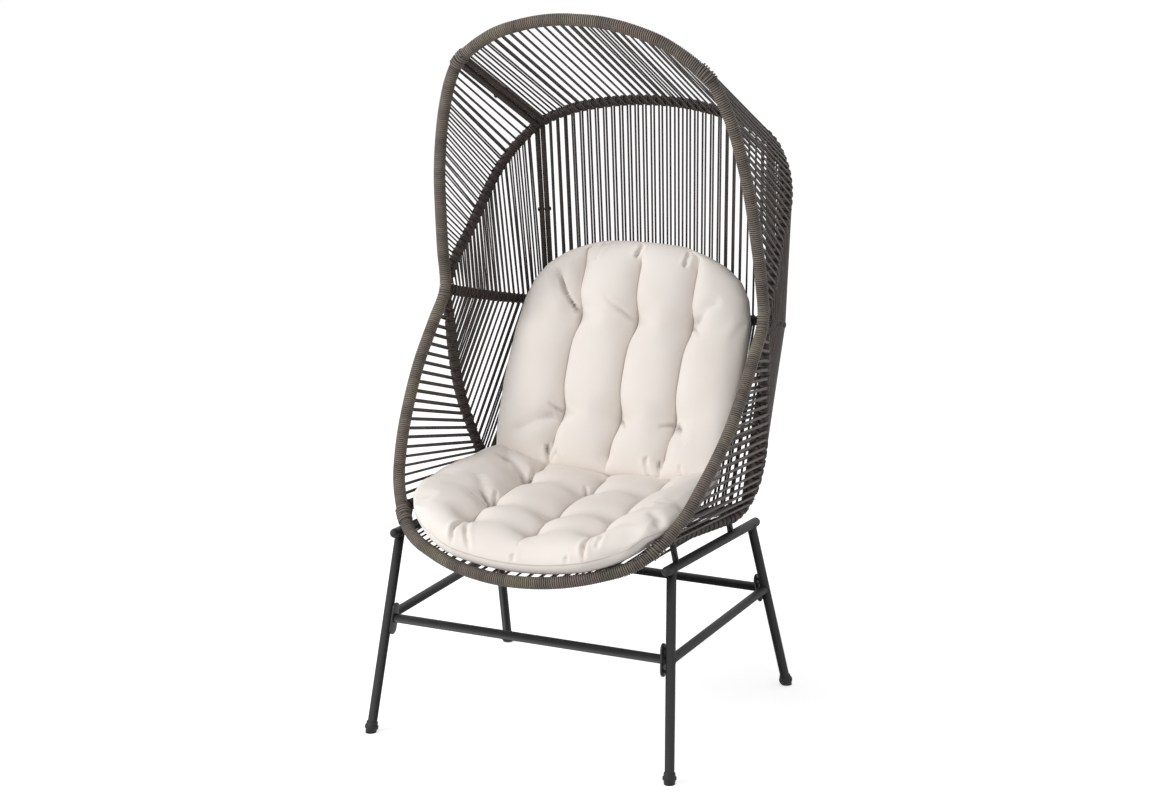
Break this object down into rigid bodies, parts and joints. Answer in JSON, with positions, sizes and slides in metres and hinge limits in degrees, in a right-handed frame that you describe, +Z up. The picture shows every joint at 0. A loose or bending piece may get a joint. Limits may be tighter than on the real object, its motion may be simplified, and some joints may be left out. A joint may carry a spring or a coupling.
{
  "type": "canopied egg chair",
  "caption": "Free-standing egg-shaped garden chair: wrapped tube shell with a canopy of stretched strands on a splayed tube base, with a tufted seat and back cushion.",
  "frame": {"origin": "on the floor, below the middle of the chair's box", "axes": "+Z up, the open front faces -Y, +X to the right of someone who looks at the front"},
  "size_m": [0.7666, 0.7931, 1.49],
  "materials": {
    "base_metal": "fine matt powder coat, charcoal",
    "rim_wrap": "wound flat resin strand, grey-brown with olive and tan stretches",
    "rod_wrap": "wound resin strand, dark brown",
    "strands": "stretched resin strand, dark brown, satin",
    "cushion": "smooth woven cover, off-white",
    "cap_plastic": "moulded, near black",
    "bolt_steel": "blackened steel"
  },
  "bodies": {
    "chair": {"left_top_rail": "base_metal", "right_top_rail": "base_metal", "rail_plugs": "cap_plastic", "left_front_leg": "base_metal", "right_front_leg": "base_metal", "left_rear_leg": "base_metal", "right_rear_leg": "base_metal", "left_side_stretcher": "base_metal", "right_side_stretcher": "base_metal", "front_stretcher": "base_metal", "rear_stretcher": "base_metal", "stretcher_plates": "base_metal", "plate_bolts": "bolt_steel", "left_front_foot_cap": "cap_plastic", "right_front_foot_cap": "cap_plastic", "left_rear_foot_cap": "cap_plastic", "right_rear_foot_cap": "cap_plastic", "shell_brackets": "base_metal", "crown_rim": "rim_wrap", "left_side_rim": "rim_wrap", "right_side_rim": "rim_wrap", "lip_rim": "rim_wrap", "rear_arch": "rod_wrap", "left_arch_side": "rod_wrap", "right_arch_side": "rod_wrap", "waist_bar": "rod_wrap", "left_waist_bar": "rod_wrap", "right_waist_bar": "rod_wrap", "left_lower_rod": "rod_wrap", "right_lower_rod": "rod_wrap", "rear_cross_bar": "rod_wrap", "left_canopy_bar": "rod_wrap", "right_canopy_bar": "rod_wrap", "left_wing_bar": "rod_wrap", "right_wing_bar": "rod_wrap", "left_back_bar": "rod_wrap", "right_back_bar": "rod_wrap", "left_corner_bar": "rod_wrap", "right_corner_bar": "rod_wrap", "left_lower_back_bar": "rod_wrap", "right_lower_back_bar": "rod_wrap", "panel_bolts": "bolt_steel", "canopy_strands": "strands", "left_wing_strands": "strands", "right_wing_strands": "strands", "upper_back_strands": "strands", "left_corner_strands": "strands", "right_corner_strands": "strands", "lower_back_strands": "strands", "left_lower_corner_strands": "strands", "right_lower_corner_strands": "strands", "left_side_strands": "strands", "right_side_strands": "strands", "seat_strands": "strands"},
    "cushion": {"seat_cushion": "cushion", "back_cushion": "cushion"}
  },
  "joints": [
    {"name": "cushion_slide", "type": "slide", "parent": "chair", "child": "cushion", "axis": [0, -0.9063, 0.4226], "range_m": [0, 0.75]}
  ]
}
